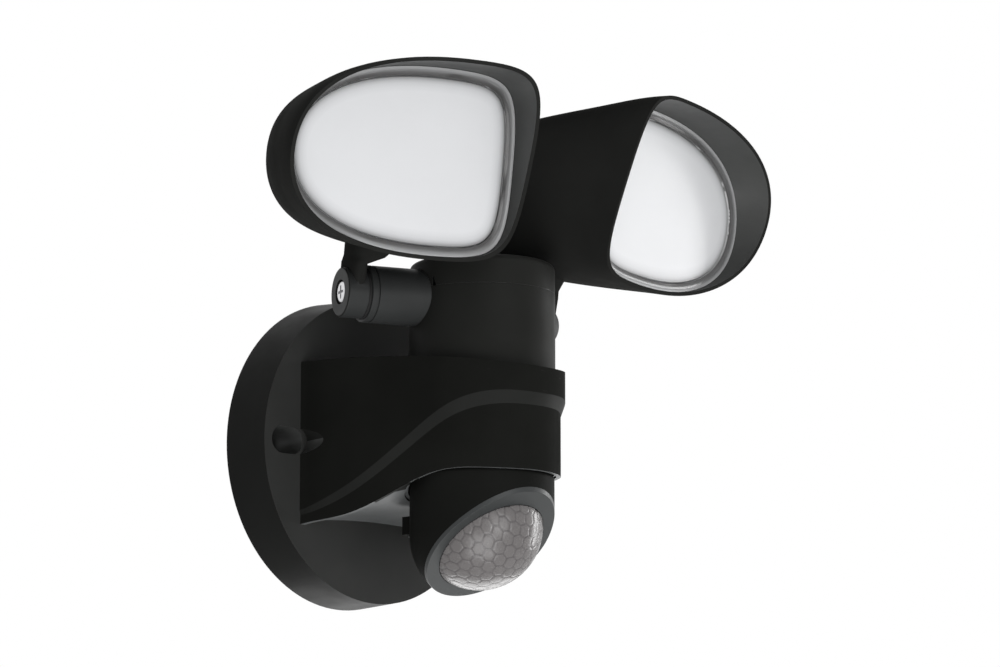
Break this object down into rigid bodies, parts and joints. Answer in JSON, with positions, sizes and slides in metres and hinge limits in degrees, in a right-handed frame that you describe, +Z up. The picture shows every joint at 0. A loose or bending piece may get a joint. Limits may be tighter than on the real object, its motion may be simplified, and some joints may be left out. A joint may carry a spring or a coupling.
{
  "type": "motion sensor security light",
  "caption": "Wall-mounted motion sensor security light with hooded tilting lamp heads on swept arms above a round-based body and a swivelling detector.",
  "frame": {"origin": "centre of the wall base's back face, on the wall", "axes": "+Y into the wall, -Y the way the lamps look, +X to the right of someone behind the light, +Z up"},
  "size_m": [0.2539, 0.136, 0.1854],
  "materials": {
    "black_plastic": "satin moulded",
    "lens_frame": "satin translucent",
    "diffuser": "milky diffusing",
    "rubber": "matt",
    "heat_plate": "satin",
    "led_board": "white solder mask",
    "screw": "bright",
    "grey_plastic": "satin moulded",
    "dome": "milky with ruled cells",
    "circuit_board": "solder mask",
    "metal_can": "bright",
    "foam": "closed-cell foam",
    "terminal_plastic": "natural",
    "brass": "plated"
  },
  "bodies": {
    "base": {"base_housing": "black_plastic", "collar_cap": "black_plastic", "arm_left": "black_plastic", "arm_right": "black_plastic", "friction_washer_left": "rubber", "friction_washer_right": "rubber", "pivot_screw_left": "screw", "pivot_screw_right": "screw", "rear_cover": "grey_plastic", "cover_screws": "screw", "wall_gasket": "foam", "cable_grommet": "rubber", "driver_board": "circuit_board", "terminal_block": "terminal_plastic", "terminal_screws": "brass"},
    "lamp_left": {"head_shell_left": "black_plastic", "lens_frame_left": "lens_frame", "diffuser_left": "diffuser", "lens_gasket_left": "rubber", "heat_plate_left": "heat_plate", "led_board_left": "led_board", "plate_screws_left": "screw"},
    "lamp_right": {"head_shell_right": "black_plastic", "lens_frame_right": "lens_frame", "diffuser_right": "diffuser", "lens_gasket_right": "rubber", "heat_plate_right": "heat_plate", "led_board_right": "led_board", "plate_screws_right": "screw"},
    "detector": {"sensor_housing": "black_plastic", "sensor_bezel": "grey_plastic", "sensor_dome": "dome", "sensor_board": "circuit_board", "sensor_element": "metal_can", "sensor_nut": "grey_plastic"},
    "dial_range": {"dial_range": "grey_plastic"},
    "dial_time": {"dial_time": "grey_plastic"},
    "dial_lux": {"dial_lux": "grey_plastic"}
  },
  "joints": [
    {"name": "lamp_left_tilt", "type": "hinge", "parent": "base", "child": "lamp_left", "pos_m": [-0.04775, -0.05481, 0.0498], "axis": [-0.9272, 0.3746, 0], "range_deg": [-2, 42]},
    {"name": "lamp_right_tilt", "type": "hinge", "parent": "base", "child": "lamp_right", "pos_m": [0.04775, -0.05481, 0.0498], "axis": [-0.9272, -0.3746, 0], "range_deg": [-7, 37]},
    {"name": "detector_turn", "type": "hinge", "parent": "base", "child": "detector", "pos_m": [0, -0.0741, -0.02], "axis": [0, 0, 1], "range_deg": [-80, 80]},
    {"name": "dial_range_turn", "type": "hinge", "parent": "detector", "child": "dial_range", "pos_m": [-0.0062, -0.04578, -0.033], "axis": [0, 0, -1], "range_deg": [-135, 135]},
    {"name": "dial_time_turn", "type": "hinge", "parent": "detector", "child": "dial_time", "pos_m": [0, -0.04578, -0.033], "axis": [0, 0, -1], "range_deg": [-135, 135]},
    {"name": "dial_lux_turn", "type": "hinge", "parent": "detector", "child": "dial_lux", "pos_m": [0.0062, -0.04578, -0.033], "axis": [0, 0, -1], "range_deg": [-135, 135]}
  ]
}
